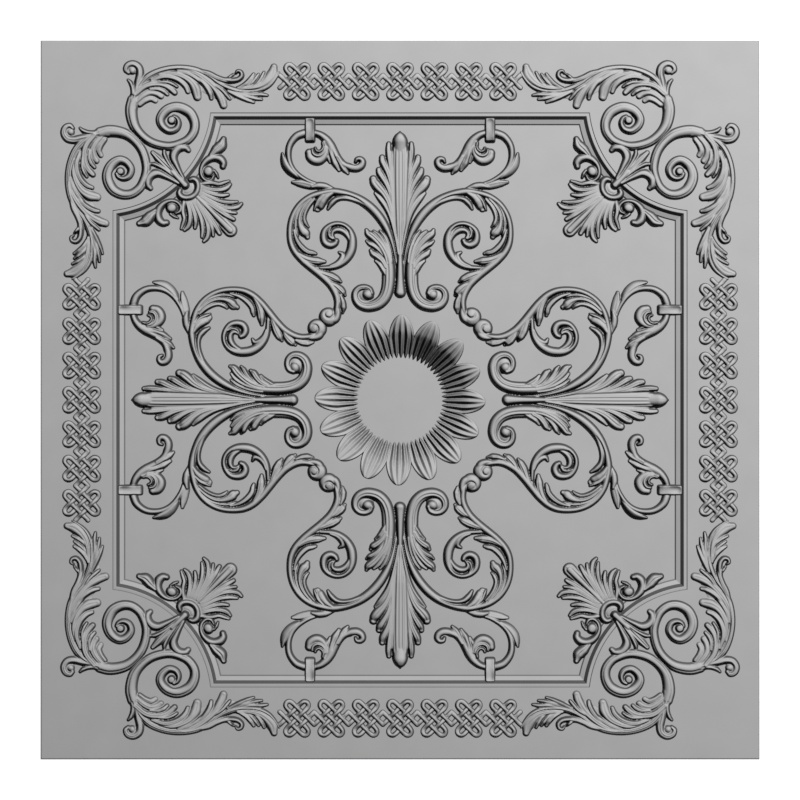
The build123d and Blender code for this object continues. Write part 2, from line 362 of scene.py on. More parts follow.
def carve_hanger(relief):
    """Strap over the frame, and the stem and small leaves at its left."""
    rib, leaf = relief.stroke, relief.leaf
    relief.strap((304.6, 117.3, 315.0, 142.5), 2.2, 1.3, (12, 12, 12, 12, 12, 11.8, 11.2, 10.2, 8.4, 4.5))
    rib([(304, 132.8), (297, 135.4), (292.4, 139.8), (289.2, 145.5), (288, 152), (288.6, 160),
         (291.5, 167.2), (296.5, 173.2), (303, 178), (310, 181.6), (318, 184)],
        (4.4, 4.2, 3.8, 3.5, 3.3, 3.2, 3, 2.8, 2.6, 2.4, 2), (9.5, 9.5, 9, 8.5, 8, 7.5, 7, 7, 6.5, 6, 4))
    leaf([(281.8, 153), (282.8, 158.5), (285, 165), (289.4, 171), (295, 175.6), (298.5, 178)],
         (1.2, 2.8, 3.6, 3.4, 2.6, 1.4), (4, 5.6, 6.4, 6.6, 6.2, 5), flutes=(), tilt=-0.5)
    leaf([(292.4, 182), (297.6, 182.6), (304, 183.8), (311, 185.6), (317, 186.6)],
         (1.6, 3.2, 3.8, 3.4, 2.2), (3.4, 4.6, 5.2, 5.2, 4), tilt=-0.35)
    rib([(312, 186.4), (318, 185.4), (325, 186.4), (333, 188.6)], (2.4, 4, 4.2, 2), (6.5, 7.6, 7.4, 5))


def carve_hanging_leaf(relief):
    """Leaf that hangs from the strap, its lobes, its curled tip and the curl at its root."""
    rib, leaf = relief.stroke, relief.leaf
    rib([(315, 132.6), (321, 135), (326, 139.4), (329.6, 145.4), (332.4, 152), (336.6, 158.6),
         (342.6, 163.8), (349, 166.8)],
        (3.6, 3.9, 4.8, 5.8, 6.2, 5.6, 4.2, 3.4), (9.5, 10, 10.4, 10.4, 10, 9.5, 9, 8.5))
    leaf([(324.6, 142), (326.4, 149), (328.2, 156), (330, 161.6)], (3, 3.6, 3.4, 1.6), (10, 9.6, 8.4, 4.5))
    leaf([(329.6, 148), (332.4, 155), (335.8, 163), (338.8, 169.6)], (3.4, 4, 3.8, 1.7), (10.2, 10, 8.6, 4.5))
    leaf([(337, 157), (341.4, 164), (345, 169.4), (347.6, 172.8)], (3.4, 3.6, 3, 1.5), (9.8, 9.4, 7.6, 4.5))
    relief.groove([(326.4, 147), (328.2, 154), (331, 160)], (0.7, 0.8, 0.6), (0.3, 1.6, 0.6))
    relief.groove([(332, 150), (335, 158), (339.4, 166)], (0.7, 0.8, 0.6), (0.3, 1.8, 0.8))
    rib([(309.2, 152.6), (310.4, 156.6), (313.8, 159.2), (317.8, 159.8), (322, 157.6), (325.6, 153),
         (327, 147)],
        (4.6, 5.2, 5.5, 5.5, 5, 4.2, 3), (8.4, 9.2, 9.6, 9.6, 9.6, 9.8, 10))
    rib([(312, 149.4), (313, 153.2), (316.6, 155.4), (320.8, 154.6), (324, 151.4), (325.4, 146.6)],
        (2, 2.8, 3.2, 3.2, 3, 2.4), (9.6, 10.6, 11, 11, 11, 10.6))
    rib([(315, 147.6), (316.2, 150.4), (319, 151.4), (321.8, 149.8), (323.4, 146.6), (322.8, 142.6)],
        (1.6, 2, 2.2, 2.2, 2.2, 2), (10.6, 11.6, 12, 12, 11.8, 11))
    rib([(345, 165.2), (351, 167.2), (357, 167.2), (361, 164.8), (362.2, 161.2), (360.2, 158.8),
         (357, 159), (355.4, 161.6)],
        (3.8, 4.4, 4.7, 4.3, 3.8, 3.2, 2.8, 1.8), (8.6, 8.8, 9, 9, 8.8, 8.4, 8, 6.5))


def carve_upright_leaf(relief):
    """Leaf on the panel's centre line: stem, bud, drop, web and lobes."""
    rib, leaf = relief.stroke, relief.leaf
    rib(on_centre_line(140, 150, 165, 185, 205, 222, 234, 245),
        (6.5, 8.8, 9.4, 9.2, 8.4, 7.2, 6, 4.6), (9, 10, 10.3, 10.5, 10.5, 10.3, 8.6, 7.4), power=3.6,
        flutes=((0.2, 0.06, 0.1), (-0.2, 0.06, 0.1), (0.56, 0.08, 0.11), (-0.56, 0.08, 0.11)))
    rib(on_centre_line(131.2, 133, 135, 138, 141, 146, 152),
        (0.8, 3.8, 5.6, 7.2, 8, 8, 7.6), (5, 8.6, 10.8, 12.6, 12.8, 11.2, 9.6))
    rib(on_centre_line(236, 256, 278, 292), (3.6, 3.2, 4.4, 6), (7.6, 8, 9.4, 10.8))
    rib([(390.4, 152), (391, 170), (391.6, 190), (392.6, 210), (394.6, 232)],
        (3.4, 4.4, 4.6, 4.2, 2.6), (8.6, 9.4, 9.6, 9.4, 8))
    leaf([(388.8, 143.4), (388.6, 148), (389.1, 156), (390, 166), (391.2, 178), (392.6, 191)],
         (2.2, 2.8, 3, 2.6, 2, 1.4), (6, 8.6, 9.6, 10, 10, 9))
    leaf([(382.2, 157.2), (382.8, 160.8), (385.2, 166.2), (388, 173), (390, 181), (391.6, 191), (393.4, 203)],
         (2.8, 3.5, 3.7, 3.4, 2.6, 2, 1.4), (6, 8.8, 10, 10.2, 10.2, 9.6, 8))
    leaf([(379, 169.6), (379.8, 172.4), (382.6, 177.2), (386, 183), (389, 190.5), (391.2, 200), (393.6, 212)],
         (2.8, 3.5, 3.6, 3.3, 2.6, 2, 1.4), (6, 8.8, 9.8, 10, 10, 9.4, 7.4))
    leaf([(373.4, 179), (374.6, 182), (378.2, 186.8), (383.6, 193), (388, 201), (391, 211), (393, 222),
          (396, 235)],
         (3.6, 4.6, 4.8, 4.3, 3.4, 2.4, 1.8, 1.4), (7, 10, 10.6, 10.6, 10.4, 10, 9, 6.6))
    leaf([(375.6, 192.8), (379.6, 197.2), (384.6, 203.6), (388.6, 210.8), (391.4, 219), (394, 230),
          (396.4, 242), (398.4, 254)],
         (1.8, 3, 3.3, 3, 2.4, 2, 1.6, 1.4), (5, 8.2, 9, 9.4, 9.4, 9, 8.6, 8))


def carve_long_scroll(relief):
    """Long scroll from the upright leaf to the ball beside the rosette."""
    rib = relief.stroke
    rib([(396.6, 266), (395.2, 257), (393.2, 247), (389.8, 236), (385.2, 226), (379, 216.4), (370.8, 207.4),
         (361, 200.2), (351, 195.6), (341, 192.6), (331, 191.4), (320, 193.4), (310, 197), (301, 203.4),
         (294.8, 211.6), (291, 221.4), (289.8, 232), (291, 243), (295, 251.6), (302.6, 260), (312, 267.8),
         (322, 275.8), (330.6, 284.4), (336, 294), (337.6, 302), (336.4, 309.4), (333, 315.4)],
        (1, 1.6, 2.6, 3.8, 4.6, 5, 5, 4.8, 4.6, 4.2, 4, 4, 3.8, 3.6, 3.5, 3.4, 3.4, 3.6, 4, 4.4, 4.6, 4.6,
         4.6, 4.4, 4, 3.6, 3),
        (3, 6.4, 8, 9.5, 10.5, 10.8, 10.8, 10.6, 10.4, 10.2, 10, 10, 9.8, 9.4, 9, 8.8, 8.8, 9.2, 9.6, 10,
         10, 10, 10, 10, 10, 9.6, 9))
    rib([(337.4, 306), (337.6, 312.6), (334.8, 318.6), (329, 320.4)], (3, 3.8, 4.8, 5), (9, 9, 9, 9))
    relief.dome(328.3, 317, 9.8, 10.4, power=2.3)
    relief.groove([(334, 308), (333.6, 314.4), (329.6, 318), (325.4, 316.4), (324.8, 312.8), (327.4, 311)],
                  (0.9, 1.1, 1.1, 1, 0.9, 0.7), (1, 1.8, 1.8, 1.5, 1, 0.3))


def carve_upper_scroll_leaves(relief):
    """Leaves that grow from the long scroll's upper bend."""
    rib, leaf = relief.stroke, relief.leaf
    rib([(366, 206.6), (358, 201.8), (350, 198.6), (342, 197.6), (336, 199), (331, 203.2), (327.8, 208.6)],
        (1.2, 2, 2.4, 2.6, 3.1, 3.3, 1.7), (7, 8.4, 8.8, 8.8, 8.6, 8, 4.8))
    relief.groove([(364, 203.6), (356, 198.8), (347, 195.6), (338, 195)],
                  (0.6, 0.8, 0.8, 0.6), (0.4, 1.8, 2.2, 1.2))
    leaf([(332, 192.6), (326, 196), (321.6, 201), (318.8, 206.2), (317.4, 208.4)],
         (2.6, 4, 4.6, 4.2, 3), (10, 10.4, 9.6, 7, 4), flutes=((0.3, 0.06, 0.1),))
    rib([(323, 194.6), (318, 200), (315.6, 205.6), (313.8, 209.8)], (2, 2.6, 2.4, 1.2), (9.8, 9.2, 7.6, 5))
    leaf([(313, 198.6), (304, 209), (300, 221), (302, 231)],
         (2.6, 4, 4.4, 3.6), (4.6, 4.6, 4.4, 4), flutes=())
    leaf([(314, 199), (308, 206), (304.6, 213), (303.8, 219), (305.6, 224), (308, 226.6)],
         (1.6, 2, 2, 2, 2.2, 1.2), (9.4, 9.2, 9, 8.6, 8, 5))
    leaf([(311, 198.6), (304.4, 206), (300.2, 214), (299.4, 222), (301.6, 229), (305.4, 233.4), (307, 236.6)],
         (1.8, 2.2, 2.4, 2.8, 4, 4.5, 2.4), (9.4, 9.4, 9.2, 9, 9.4, 9, 5.5), flutes=((-0.4, 0.08, 0.14),))
    rib([(306, 200.6), (299.4, 208.5), (296, 217), (295, 226), (296.4, 232.4), (297.8, 236)],
        (1.4, 1.9, 2.1, 2.3, 2.3, 1.1), (9, 8.8, 8.4, 8, 7.4, 4.5))


def carve_lower_scroll_leaves(relief):
    """Leaves that grow inwards from the long scroll's lower run."""
    rib, leaf = relief.stroke, relief.leaf
    leaf([(293.6, 230), (296.4, 239.6), (301.4, 247), (307.6, 251.8), (312.6, 252.8), (315.2, 253.4)],
         (1.4, 2.2, 2.8, 2.8, 2.5, 1.7), (8.6, 9, 9, 8.6, 7.4, 5))
    leaf([(298, 253.6), (304, 257.8), (311, 260.2), (318, 261), (324.2, 261.4)],
         (2.2, 3.5, 3.9, 3.7, 1.8), (9.4, 10, 10, 9, 5), flutes=((-0.3, 0.08, 0.1), (0.25, 0.08, 0.1)))
    rib([(306, 263.4), (313, 266.6), (321, 268.2)], (1.4, 2, 1.3), (8.6, 8.6, 7))
    leaf([(315, 269.6), (323, 273.4), (331, 276.6), (337.4, 279.8), (340.6, 281.6)],
         (1.8, 3.4, 4.1, 3.4, 1.4), (9.4, 10, 10, 8.6, 4.6), flutes=LOBE_VEINS)
    leaf([(330, 282.4), (335.4, 286), (340, 290), (343, 293.2), (344.6, 295)],
         (1.8, 3.4, 4.1, 3.4, 1.6), (9.4, 10, 9.8, 8.4, 4.8), flutes=LOBE_VEINS)
    leaf([(340.4, 295.6), (342.2, 301.6), (342.8, 307.6), (342.4, 312.6)],
         (1.8, 3, 3.2, 1.3), (9.4, 9.4, 8.6, 4.6), flutes=((-0.2, 0.08, 0.1), (0.3, 0.08, 0.1)))


def carve_inner_volute(relief):
    """Volute inside the long scroll."""
    rib = relief.stroke
    rib([(320, 268), (330, 267.4), (338.4, 264.6), (345.6, 259), (350.6, 250.8), (352, 242.6), (351.2, 235),
         (348, 228.8), (342.6, 224.8), (336, 223.8), (329.6, 226), (324.8, 230.6), (323.4, 237),
         (325.2, 242.4), (330.2, 244.8), (334.8, 243), (336.2, 240.6)],
        (2.4, 3, 3.8, 4.5, 5, 5, 4.4, 3.4, 3, 3, 3.2, 3.6, 4, 4.2, 4.3, 3.9, 3),
        (8.5, 9, 9.6, 10.4, 11, 11, 10.6, 10, 9.8, 9.6, 9.6, 9.6, 9.6, 9.6, 9.6, 9.6, 9))
    rib([(350.4, 243), (348.6, 237), (344.8, 232), (340, 229.6), (335.4, 229.8), (332.4, 232), (332, 235.2),
         (334, 238.4)],
        (2, 3, 3.8, 4, 3.6, 2.8, 2.3, 1.6), (8.6, 9.4, 9.8, 9.8, 9.6, 9.6, 9.4, 9))
    rib([(330.6, 227.6), (328.8, 231.6), (329.6, 236.4), (332.8, 238.8)],
        (1.4, 2.3, 2.4, 1.6), (9.6, 10.4, 10.4, 9.6))
    relief.groove([(349, 231.6), (343.4, 227), (337, 226), (331.4, 228.4)],
                  (0.7, 0.9, 0.9, 0.6), (0.6, 2.2, 2.2, 1))
    rib([(330, 266), (337.6, 263.2), (342, 258.8), (342.4, 254.6), (339, 252)],
        (1.8, 3.4, 4, 3.4, 1.6), (9, 9.6, 9.4, 8, 4.8))


def carve_foot_scroll(relief):
    """Scroll at the foot of the upright leaf, with the ball in its curl."""
    rib = relief.stroke
    rib([(385, 246), (387.6, 258), (388.6, 272), (388.4, 283), (386.8, 291.5), (383.4, 298.6),
         (378, 303.6), (372, 305.8), (366, 306.2), (359.6, 303.8), (355.8, 298.6), (355.6, 292.8),
         (359, 288.6), (364.4, 287.4), (369.2, 289.2), (371, 293)],
        (4.4, 6.4, 7, 6.8, 6.5, 6.3, 6.2, 6, 5.8, 5.4, 4.6, 4, 3.6, 3.6, 3.6, 3.4),
        (10, 11, 11.4, 11.4, 11.4, 11.4, 11.2, 11, 10.6, 10, 9.4, 9, 9, 9.4, 10, 10.6),
        flutes=((0.05, 0.09, 0.14), (0.55, 0.08, 0.14)))
    relief.dome(364.5, 296, 9.5, 7.6)
    relief.dome(367.4, 294.4, 6.6, 11.6)


def carve_foot_leaf(relief):
    """Lobes at the top of the foot scroll."""
    leaf = relief.leaf
    leaf([(366.4, 229.8), (368, 233), (372.6, 236.6), (377.4, 241.4), (382, 247.4), (385.6, 254.6),
          (387.6, 263)],
         (1.7, 3.5, 4.2, 4.2, 4, 3.6, 2.6), (5.6, 9, 10.4, 10.8, 11, 11, 11), flutes=((-0.05, 0.1, 0.12),))
    leaf([(373.6, 230.8), (378.6, 234.8), (383, 241), (386.6, 249), (388.6, 258)],
         (1.3, 2.1, 2.2, 2, 1.7), (6, 8.6, 9.6, 10.4, 11))
    leaf([(380, 230.6), (384.4, 236), (387.6, 243), (390.2, 252), (391.6, 262)],
         (1.2, 1.9, 2, 2, 1.7), (5, 7.4, 8.4, 9.4, 10.4))
    leaf([(366.6, 240.8), (369.4, 243), (374.2, 245.6), (379.4, 250), (386, 259)],
         (1.4, 2.4, 2.7, 2.6, 2), (5, 8.4, 9.4, 10.2, 9.6))
    leaf([(371, 250.4), (373, 253), (377.6, 256), (382.4, 260.6), (385.8, 267)],
         (2, 3.3, 3.6, 3.3, 2.4), (6, 9, 10.2, 10.8, 11.2))
    leaf([(375.8, 260.6), (379.8, 263.8), (383.8, 269.6), (387.2, 277)],
         (1.6, 2.7, 3, 2), (5.8, 9.4, 10.4, 9.6))


def carve_corner():
    """Top left corner: the half above its diagonal, and its mirror image."""
    relief = Relief(CORNER_BOX, CARVING_CELL, CORNER_SWELL)
    carve_corner_volute(relief)
    carve_sweep(relief)
    carve_curl(relief)
    carve_inner_leaf(relief)
    carve_outer_leaf(relief)
    carve_end_leaf(relief)
    carve_trumpet(relief)
    carve_cup(relief)
    carve_side_volute(relief)
    carve_shell(relief)
    relief.z = np.maximum(relief.z, relief.z.T)
    relief.deepen(ground_height(relief), CORNER_DEEPEN)
    relief.soften(CARVING_SOFTEN)
    return relief


def carve_corner_volute(relief):
    """Volute on the border, with the ball at its middle."""
    rib = relief.stroke
    rib([(133, 100), (131, 108), (131.5, 117), (134.5, 126.5), (141, 135), (150, 141.5), (160, 145),
         (170, 146), (180, 143.5), (188, 139), (193.6, 131), (194.2, 122), (190, 113.2),
         (183.4, 108.8), (175.6, 107.2), (167, 109.8), (161.8, 114.8), (160, 120), (162.2, 126),
         (169, 130.6), (175.8, 128.6), (178.4, 123), (176.6, 118), (173.6, 116.2)],
        (6.5, 6.6, 6.2, 5.6, 5, 4.8, 4.8, 4.8, 4.8, 4.8, 4.8, 5.2, 5.6, 6, 6.1, 5.8, 5.2, 4.8, 4.4,
         4.1, 3.8, 3.4, 2.8, 2.2),
        (8.5, 9, 9, 9, 9, 9, 9, 9, 9, 9, 9, 9, 9, 8.8, 8.8, 8.6, 8.6, 8.4, 8.2, 8, 8, 8, 8, 7.5),
        base=BORDER_RISE, flutes=((0.45, 0.1, 0.13),))
    relief.dome(171.5, 120, 4.6, 9.6, base=BORDER_RISE)


def carve_sweep(relief):
    """Stem that sweeps over the volute and out to the knots, and the low web under its leaves."""
    rib = relief.stroke
    rib([(132, 108), (133.4, 99), (138, 88), (147, 77.6), (160, 71), (177, 68), (195, 70),
         (209, 76.4), (221, 84.6), (234, 90), (248, 91.4), (260, 89.6), (269.4, 84.6), (276, 77),
         (279, 72)],
        (5.6, 5.4, 4.8, 4.2, 4, 3.8, 3.8, 3.8, 3.8, 3.6, 3.2, 2.8, 2.4, 1.8, 1),
        (8.5, 8.5, 8.5, 8.5, 8.5, 8.5, 8.5, 8.5, 8.2, 8, 7.6, 7, 6, 4.5, 3),
        base=BORDER_RISE, flutes=((0.3, 0.12, 0.12), (-0.3, 0.12, 0.12)))
    rib([(138, 96), (150, 84), (164, 78), (180, 76), (195, 79), (209, 87), (221, 93), (235, 92),
         (250, 90), (262, 84)],
        (5, 6, 7, 7.6, 7.6, 7.6, 7, 6, 6, 4), (2, 1.4, 1.4, 1.4, 1.4, 1.4, 1.6, 2, 2, 2),
        base=BORDER_RISE)


def carve_curl(relief):
    """Curl above the volute, with its ball and the small lobe beside it."""
    rib = relief.stroke
    rib([(135.6, 93), (138, 82), (139.6, 73.6), (138, 67), (132.6, 63.8), (127.4, 65.4),
         (125.6, 69.4), (128, 72.4)],
        (4.8, 4.4, 4.4, 4.4, 4.2, 3.8, 3.2, 2.2), (8.5, 8, 8, 8, 8, 7.6, 7, 6),
        base=BORDER_RISE, flutes=((0.2, 0.1, 0.15),))
    relief.dome(131.8, 69.4, 5, 6.6, base=BORDER_RISE)
    rib([(127.8, 79.6), (130.4, 82.6), (132.6, 88), (133, 94)],
        (1.6, 2.6, 3, 3), (4.5, 6.5, 7.5, 8), base=BORDER_RISE)


def carve_inner_leaf(relief):
    """Leaf inside the volute, each lobe lapped by the next."""
    lobes = (
        ([(139, 104), (145, 99.6), (150.4, 98), (155, 100.4)], (2.8, 3.2, 3.2, 2.4), 5.8),
        ([(136, 101), (143, 95), (150, 91.8), (156.6, 92.8), (160.6, 95.8)], (3.2, 3.8, 4, 3.8, 2.8), 7.4),
        ([(150, 89), (158, 88.8), (163.6, 91), (167, 94)], (1.8, 2.6, 2.6, 1.8), 8),
        ([(135, 94), (145, 86), (155, 83.6), (164, 84.6), (170, 88), (174.4, 92.4)],
         (3.6, 3.8, 4, 4, 3.6, 2.6), 9.6),
        ([(158, 82), (167, 82), (172.6, 84), (176.6, 86.4)], (1.4, 2, 2, 1.5), 9.8),
    )
    for route, widths, top in lobes:
        relief.leaf(route, widths, [share * top for share in LOBE_RISE_SHARES], base=BORDER_RISE)


def carve_outer_leaf(relief):
    """Leaf over the volute."""
    lobes = (
        ([(152, 80), (163, 76.4), (172, 77), (180, 80.4), (185.6, 86), (187.6, 91.4)],
         (2.8, 3.4, 3.4, 3.2, 3, 2.2)),
        ([(160, 75), (172, 73.4), (183, 76.4), (191, 81.6), (195, 88), (197, 96.6)],
         (2.6, 3.2, 3.8, 4.6, 5, 3.6)),
        ([(178, 71), (188, 73.6), (196, 78), (202, 82.6), (205.6, 86)], (2.2, 2.8, 2.8, 2.4, 1.6)),
        ([(192, 75), (202, 81), (207.6, 87.6), (210.4, 93.6), (211, 98)], (2, 2.8, 3, 2.8, 2)),
        ([(180, 69.6), (190, 71), (200, 75.6), (210, 83.4), (217, 91), (221, 98), (223.2, 105)],
         (2.6, 3.2, 3.8, 4.2, 4.4, 4.2, 3.4)),
        ([(213, 84), (222, 90), (226.6, 95), (229.6, 98.6)], (1.8, 2.2, 2.2, 1.5)),
        ([(196, 70.6), (208, 73.6), (217, 78), (226, 80.6), (234, 80.6)], (2.4, 3, 3, 2.8, 2.4)),
    )
    for route, widths in lobes:
        relief.leaf(route, widths, (7.6, 9, 9, 7.6, 4), base=BORDER_RISE)


def carve_end_leaf(relief):
    """Leaf at the end towards the knots, with its curl."""
    rib = relief.stroke
    rib([(224, 79.6), (232, 80.2), (238, 79), (241.4, 75.6), (240.6, 71.8), (237.4, 70.8), (235.6, 73)],
        (3, 3.2, 3, 2.8, 2.4, 2, 1.4), (7.6, 7.8, 7.8, 7.6, 7.4, 7, 6), base=BORDER_RISE)
    lobes = (
        ([(228, 78.4), (233, 74.2)], (1.8, 1.4)),
        ([(240, 87), (246, 83.6), (251, 78.4), (253.4, 74)], (2, 2.6, 2.6, 1.7)),
        ([(246, 87), (252, 82.4), (256, 77.6), (258.4, 74)], (1.8, 2.2, 2.2, 1.4)),
        ([(252, 87), (257.6, 82.6), (261.6, 77), (263.8, 72)], (1.8, 2.2, 2.2, 1.4)),
        ([(238, 88), (250, 87.6), (260, 85), (267, 80), (272, 73.6), (273.8, 66.6)],
         (2.2, 3, 3.8, 4.8, 5, 3)),
        ([(236, 92), (252, 94.4), (261, 94.2), (267, 95)], (2, 2.4, 2.2, 1.4)),
        ([(232, 91.6), (246, 96), (255, 98), (261.4, 99)], (2, 2.4, 2.2, 1.4)),
        ([(228, 91), (240, 96.6), (247.6, 99.8), (253.4, 102)], (2, 2.4, 2.2, 1.4)),
    )
    for route, widths in lobes:
        relief.leaf(route, widths, (7, 8.4, 7.4, 4), base=BORDER_RISE)


def carve_trumpet(relief):
    """Trumpet flower on the diagonal, from the field up over the scoop."""
    rib = relief.stroke
    rib(on_diagonal(184, 178, 168, 159), (4.5, 6.5, 10, 8), (13, 13.4, 13.4, 11))
    rib(on_diagonal(152.4, 160, 168, 176), (4, 6.6, 6.6, 5), (13, 16, 16.6, 16), flutes=((0, 0.1, 0.13),))
    rib(on_diagonal(172, 178, 184.6), (6, 6, 5.6), (17, 17.6, 17))
    rib([(163.8, 148.4), (164.2, 154.6), (168, 162.4), (174.6, 171.6), (184, 183)],
        (2.6, 3.8, 4, 3.8, 3), (12.5, 15.8, 16.6, 16.4, 15))
    rib([(188, 150), (184.8, 147.4), (179.6, 147.2), (175, 150.8), (173, 157.6), (176.4, 166.4),
         (183, 178.6)],
        (4.6, 6, 6.6, 6.4, 6, 4.8, 3.2), (13, 16.6, 17.6, 18, 17.6, 16.6, 15))


def carve_cup(relief):
    """Hollow cup below the trumpet: a flat floor and a wide rim."""
    rib = relief.stroke
    relief.dome(189.4, 189.4, 11, 7, power=6)
    rib([(189.5, 179.9), (192.9, 179.1), (196.2, 181.1), (197.7, 185.1), (197.2, 189.8),
         (194.5, 194.5), (189.8, 197.3), (185.1, 197.7)],
        (3.4, 4.2, 4.6, 4.6, 4.6, 4.6, 4.6, 4.2), (12, 13.4, 14, 14, 13.6, 13.6, 14, 13.4))


def carve_side_volute(relief):
    """Volute beside the cup, with its ball, hook and flap."""
    rib = relief.stroke
    rib([(222.4, 166), (222.6, 162.4), (219.4, 158.4), (214, 156.8), (208.6, 158.4), (204, 162.4),
         (201.4, 167.4), (200.8, 172.4), (202.4, 177.4), (206.4, 180.4), (211, 179.4), (213.2, 175.4)],
        (3.4, 4.4, 4.9, 4.9, 4.5, 3.9, 3.3, 3, 2.8, 2.6, 2.4, 1.9),
        (8, 10, 11, 11.4, 11.4, 11.2, 11, 10.6, 10.2, 10, 9.6, 9))
    relief.dome(207.4, 171.2, 6.3, 12, power=2.6)
    rib([(213.6, 170), (216, 173.6), (217.6, 177.4)], (1.8, 2.2, 1.4), (7, 7.4, 4.5))
    rib([(211, 155), (216, 149.6), (221, 144.6), (223.2, 138.6)],
        (4, 6.2, 6.2, 3.2), (11, 12.4, 12, 8.6), flutes=((0, 0.1, 0.14),))


def carve_shell(relief):
    """Shell of fingers in the field, over a low web, with a wide finger on the diagonal."""
    relief.stroke(on_diagonal(197, 204, 212), (11, 10, 6), (10, 6, 2.4))
    fingers = (
        ([(198, 184), (211, 182.6), (218.4, 184), (224, 182.4), (228.4, 180.8)], (2.4, 2.6, 2.4, 2.2, 1.5)),
        ([(198, 185.6), (212, 189.4), (220.6, 189.4), (226.4, 187), (229.6, 184)], (2.8, 3.2, 3.2, 2.8, 1.8)),
        ([(199, 188.6), (213, 193.8), (221, 195.2), (227.4, 194.4)], (2.8, 3.2, 2.8, 1.8)),
        ([(199, 191.4), (214, 198.8), (222, 201.6), (230, 202.4), (236.6, 201.6)], (2.6, 2.8, 2.8, 2.6, 1.7)),
        ([(199.6, 194.4), (214, 203), (222, 206.6), (231, 207.8), (237.6, 206.2), (241, 203.4)],
         (2.6, 3, 3.2, 3, 2.6, 1.7)),
        ([(203, 197.6), (220, 208.6), (228, 211.6), (235.4, 212.6)], (2.2, 2.6, 2.4, 1.6)),
        ([(200, 197.4), (216, 208.4), (226, 215), (233, 219)], (3, 3.6, 3.6, 2.2)),
    )
    for route, widths in fingers:
        relief.leaf(route, widths, (10.5, 10.4, 9.6, 5.6))
    relief.stroke(on_diagonal(196, 208, 220, 230), (4.4, 5.8, 6.8, 7), (10.6, 11, 11, 9),
                  flutes=((0.5, 0.14, 0.14), (-0.5, 0.14, 0.14)))


def ground_height(relief):
    """Top of the slab under a relief: border, stepped frame and field."""
    gx, gy = np.meshgrid(np.abs(relief.x - GRID_CENTRE), np.abs(relief.y - GRID_CENTRE))
    from_sides = FRAME_HALF - np.maximum(gx, gy)
    from_scoops = np.hypot(gx - SCOOP_CENTRE, gy - SCOOP_CENTRE) - SCOOP_RADIUS
    return np.interp(np.minimum(from_sides, from_scoops), *np.transpose(FRAME_PROFILE))


def weave(gx, gy, middle, flip):
    """Height that takes a knot's strand over and under the other one where they cross."""
    along = gx - middle
    across = flip * (gy - KNOT_LINE)
    fade = np.clip((KNOT_PITCH / 2 - np.abs(along)) / KNOT_FADE, 0, 1)
    falling = np.cos(pi * (along - across) / KNOT_CROSSING)
    rising = np.cos(pi * (along + across) / KNOT_CROSSING)
    return -flip * KNOT_WEAVE * fade * (falling * rising)


def carve_knots():
    """Row of woven knots along the top: two strands a knot, each the other turned over."""
    half_row = (KNOTS - 1) / 2 * KNOT_PITCH
    left = GRID_CENTRE - half_row - KNOT_REACH_ALONG
    right = GRID_CENTRE + half_row + KNOT_REACH_ALONG
    box = (left, KNOT_LINE - KNOT_REACH_ACROSS, right, KNOT_LINE + KNOT_REACH_ACROSS)
    relief = Relief(box, CARVING_CELL)
    strand = [*KNOT_HALF_STRAND, (0, 0), *((-x, -y) for x, y in reversed(KNOT_HALF_STRAND))]
    rises = [KNOT_HEIGHT * share for share in KNOT_RISE_SHARES]
    for number in range(KNOTS):
        middle = GRID_CENTRE - half_row + number * KNOT_PITCH
        for flip in (1, -1):
            route = [(middle + x, KNOT_LINE + flip * y) for x, y in strand]
            lift = partial(weave, middle=middle, flip=flip)
            relief.stroke(route, (KNOT_HALF, KNOT_HALF), rises, base=BORDER_RISE, lift=lift)
    return relief


def carve_petal():
    """One petal of the rosette, pleated, climbing outwards from the flat disc."""
    relief = Relief(PETAL_BOX, PETAL_CELL)
    gx, gy = np.meshgrid(relief.x - GRID_CENTRE, GRID_CENTRE - relief.y)
    radius = np.hypot(gx, gy)
    share = np.clip((radius - PETAL_ROOT) / (PETAL_TIP - PETAL_ROOT), 0, 1)
    beyond = np.clip((radius - PETAL_SHOULDER) / (PETAL_TIP - PETAL_SHOULDER), 0, 1)
    half = np.minimum(radius, PETAL_SHOULDER) * np.sin(pi / PETALS) * np.sqrt(1 - beyond ** 2)
    half = np.maximum(half, PETAL_LEAST_HALF) + PETAL_OVERLAP * (1 - beyond)
    across = radius * np.arctan2(gx, gy) / half
    climb = spread(PETAL_CLIMB, share, PETAL_CLIMB_PLACES)
    climb = climb * (1 - PETAL_SIDE_DROP * across ** PETAL_SIDE_POWER)
    pleat = 1 - np.abs(2 * (across / PETAL_FLUTE_PITCH % 1) - 1)
    flute = spread(PETAL_FLUTE_DEPTHS, share) * pleat
    outside = np.maximum((1 - np.abs(across)) * half * EDGE_SLOPE, BELOW)
    relief.z = np.where(np.abs(across) < 1, climb - flute, outside)
    relief.z[(share == 0) | (share == 1)] = BELOW
    relief.soften(PETAL_SOFTEN)
    return relief


def place_object(name, data):
    """New object in the scene."""
    thing = bpy.data.objects.new(name, data)
    bpy.context.collection.objects.link(thing)
    return thing


def smooth_over(mesh):
    """Shade a mesh smooth, except across its creases."""
    mesh.polygons.foreach_set("use_smooth", np.ones(len(mesh.polygons), bool))
    mesh.set_sharp_from_angle(angle=CREASE_ANGLE)


def on_panel(px, py, height):
    """Panel coordinates of grid points and heights above the field."""
    x = (px - GRID_CENTRE) * STEP
    y = (GRID_CENTRE - py) * STEP
    return np.stack([x, y, FIELD_LEVEL + height * STEP], axis=-1)


